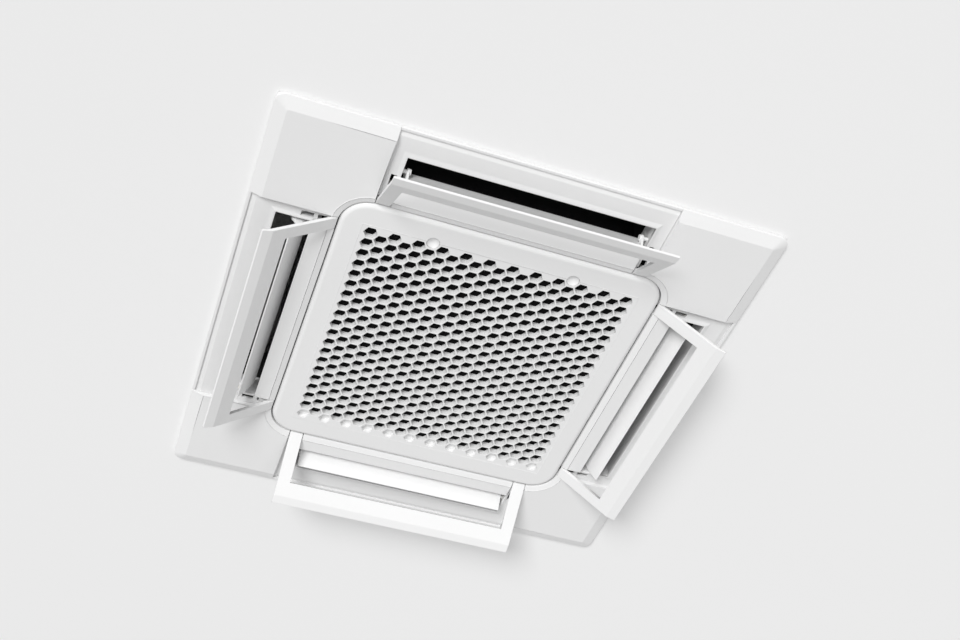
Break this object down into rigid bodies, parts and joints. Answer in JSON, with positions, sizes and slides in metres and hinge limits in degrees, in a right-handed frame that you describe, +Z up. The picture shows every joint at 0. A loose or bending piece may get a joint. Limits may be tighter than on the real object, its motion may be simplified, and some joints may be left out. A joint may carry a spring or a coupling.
{
  "type": "ceiling cassette air conditioner",
  "caption": "Square four-way ceiling cassette air conditioner with honeycomb intake grille, swinging louvres and drop-down draft frames below a ducted coil unit.",
  "frame": {"origin": "centre of the square panel, at the underside of the ceiling, which its back face bears on", "axes": "+Z up into the ceiling; +X the side the pipes and the drain leave from; +Y towards the side that the grille is hinged on"},
  "size_m": [0.635, 0.62, 0.3196],
  "materials": {
    "white_plastic": "fine satin white ABS",
    "louvre_plastic": "smooth satin white ABS",
    "inner_plastic": "plain white moulding",
    "black_plastic": "matt black moulding",
    "filter_mesh": "dark woven filter net in a moulded frame",
    "black_foam": "dark polystyrene foam with a film face",
    "foam": "pale expanded polystyrene",
    "seal_foam": "soft dark sealing foam",
    "galvanised": "galvanised sheet with faint spangle",
    "screw_steel": "zinc plated steel",
    "pin_steel": "bright steel",
    "gear_plastic": "natural acetal",
    "motor_case": "dull grey plated can",
    "aluminium_fins": "thin stacked fins",
    "copper": "drawn copper tube",
    "brass": "turned brass",
    "rubber": "black rubber",
    "white_float": "white foam plastic",
    "circuit_board": "green board with components"
  },
  "bodies": {
    "unit": {"bell_mouth": "black_plastic", "casing_screws": "screw_steel", "coil_bends": "copper", "coil_end_plates": "galvanised", "coil_fins": "aluminium_fins", "control_board": "circuit_board", "control_box": "galvanised", "control_box_cover": "galvanised", "corner_lid_back_left": "white_plastic", "corner_lid_back_right": "white_plastic", "corner_lid_front_left": "white_plastic", "corner_lid_front_right": "white_plastic", "drain_pan": "black_foam", "drain_pump": "inner_plastic", "drain_socket": "inner_plastic", "duct_seals": "seal_foam", "fan_motor": "motor_case", "flare_nuts": "brass", "float_guide": "inner_plastic", "foam_liner": "foam", "frame_hinge_pins": "pin_steel", "frame_motors": "inner_plastic", "gas_pipe": "copper", "grille_hinge_pins": "pin_steel", "hanger_bracket_back_left": "galvanised", "hanger_bracket_back_right": "galvanised", "hanger_bracket_front_left": "galvanised", "hanger_bracket_front_right": "galvanised", "liquid_pipe": "copper", "louvre_bushes": "gear_plastic", "louvre_motors": "inner_plastic", "motor_bracket": "galvanised", "motor_mounts": "rubber", "panel_bolts": "screw_steel", "panel_frame": "white_plastic", "side_casing": "galvanised", "top_plate": "galvanised"},
    "grille": {"intake_grille": "white_plastic", "filter_net": "filter_mesh"},
    "fan": {"fan_hub": "black_plastic", "fan_blades": "black_plastic", "fan_shroud": "black_plastic", "motor_shaft": "pin_steel", "fan_nut": "screw_steel"},
    "drain_float": {"drain_float": "white_float"},
    "latch_left": {"latch_button_left": "white_plastic"},
    "latch_right": {"latch_button_right": "white_plastic"},
    "louvre_right": {"louvre_right": "louvre_plastic"},
    "frame_right": {"draft_frame_right": "white_plastic"},
    "pinion_right": {"frame_pinion_right": "gear_plastic"},
    "louvre_front": {"louvre_front": "louvre_plastic"},
    "frame_front": {"draft_frame_front": "white_plastic"},
    "pinion_front": {"frame_pinion_front": "gear_plastic"},
    "louvre_left": {"louvre_left": "louvre_plastic"},
    "frame_left": {"draft_frame_left": "white_plastic"},
    "pinion_left": {"frame_pinion_left": "gear_plastic"},
    "louvre_back": {"louvre_back": "louvre_plastic"},
    "frame_back": {"draft_frame_back": "white_plastic"},
    "pinion_back": {"frame_pinion_back": "gear_plastic"}
  },
  "joints": [
    {"name": "louvre_right_swing", "type": "hinge", "parent": "unit", "child": "louvre_right", "pos_m": [0.25, 0, 0.003], "axis": [0, 1, 0], "range_deg": [-65, 5]},
    {"name": "louvre_front_swing", "type": "hinge", "parent": "unit", "child": "louvre_front", "pos_m": [0, 0.25, 0.003], "axis": [-1, 0, 0], "range_deg": [-65, 5]},
    {"name": "louvre_left_swing", "type": "hinge", "parent": "unit", "child": "louvre_left", "pos_m": [-0.25, 0, 0.003], "axis": [0, -1, 0], "range_deg": [-65, 5]},
    {"name": "louvre_back_swing", "type": "hinge", "parent": "unit", "child": "louvre_back", "pos_m": [0, -0.25, 0.003], "axis": [1, 0, 0], "range_deg": [-65, 5]},
    {"name": "frame_right_swing", "type": "hinge", "parent": "unit", "child": "frame_right", "pos_m": [0.208, 0, -0.006], "axis": [0, 1, 0], "range_deg": [-37.8, 0]},
    {"name": "frame_right_pinion_spin", "type": "hinge", "parent": "unit", "child": "pinion_right", "pos_m": [0.2185, 0, 0.01219], "axis": [0, 1, 0], "range_deg": [0, 94.5]},
    {"name": "frame_front_swing", "type": "hinge", "parent": "unit", "child": "frame_front", "pos_m": [0, 0.208, -0.006], "axis": [-1, 0, 0], "range_deg": [-37.8, 0]},
    {"name": "frame_front_pinion_spin", "type": "hinge", "parent": "unit", "child": "pinion_front", "pos_m": [0, 0.2185, 0.01219], "axis": [-1, 0, 0], "range_deg": [0, 94.5]},
    {"name": "frame_left_swing", "type": "hinge", "parent": "unit", "child": "frame_left", "pos_m": [-0.208, 0, -0.006], "axis": [0, -1, 0], "range_deg": [-37.8, 0]},
    {"name": "frame_left_pinion_spin", "type": "hinge", "parent": "unit", "child": "pinion_left", "pos_m": [-0.2185, 0, 0.01219], "axis": [0, -1, 0], "range_deg": [0, 94.5]},
    {"name": "frame_back_swing", "type": "hinge", "parent": "unit", "child": "frame_back", "pos_m": [0, -0.208, -0.006], "axis": [1, 0, 0], "range_deg": [-37.8, 0]},
    {"name": "frame_back_pinion_spin", "type": "hinge", "parent": "unit", "child": "pinion_back", "pos_m": [0, -0.2185, 0.01219], "axis": [1, 0, 0], "range_deg": [0, 94.5]},
    {"name": "grille_swing", "type": "hinge", "parent": "unit", "child": "grille", "pos_m": [0, 0.182, -0.003], "axis": [1, 0, 0], "range_deg": [0, 50]},
    {"name": "latch_left_press", "type": "slide", "parent": "grille", "child": "latch_left", "axis": [0, 0, 1], "range_m": [0, 0.0025], "stiffness_N_per_m": 500},
    {"name": "latch_right_press", "type": "slide", "parent": "grille", "child": "latch_right", "axis": [0, 0, 1], "range_m": [0, 0.0025], "stiffness_N_per_m": 500},
    {"name": "fan_spin", "type": "hinge", "parent": "unit", "child": "fan", "pos_m": [0, 0, 0], "axis": [0, 0, 1], "continuous": true},
    {"name": "float_lift", "type": "slide", "parent": "unit", "child": "drain_float", "axis": [0, 0, 1], "range_m": [0, 0.01]}
  ],
  "couplings": [
    {"joint": "frame_right_pinion_spin", "follows": "frame_right_swing", "ratio": -2.5},
    {"joint": "frame_front_pinion_spin", "follows": "frame_front_swing", "ratio": -2.5},
    {"joint": "frame_left_pinion_spin", "follows": "frame_left_swing", "ratio": -2.5},
    {"joint": "frame_back_pinion_spin", "follows": "frame_back_swing", "ratio": -2.5}
  ]
}
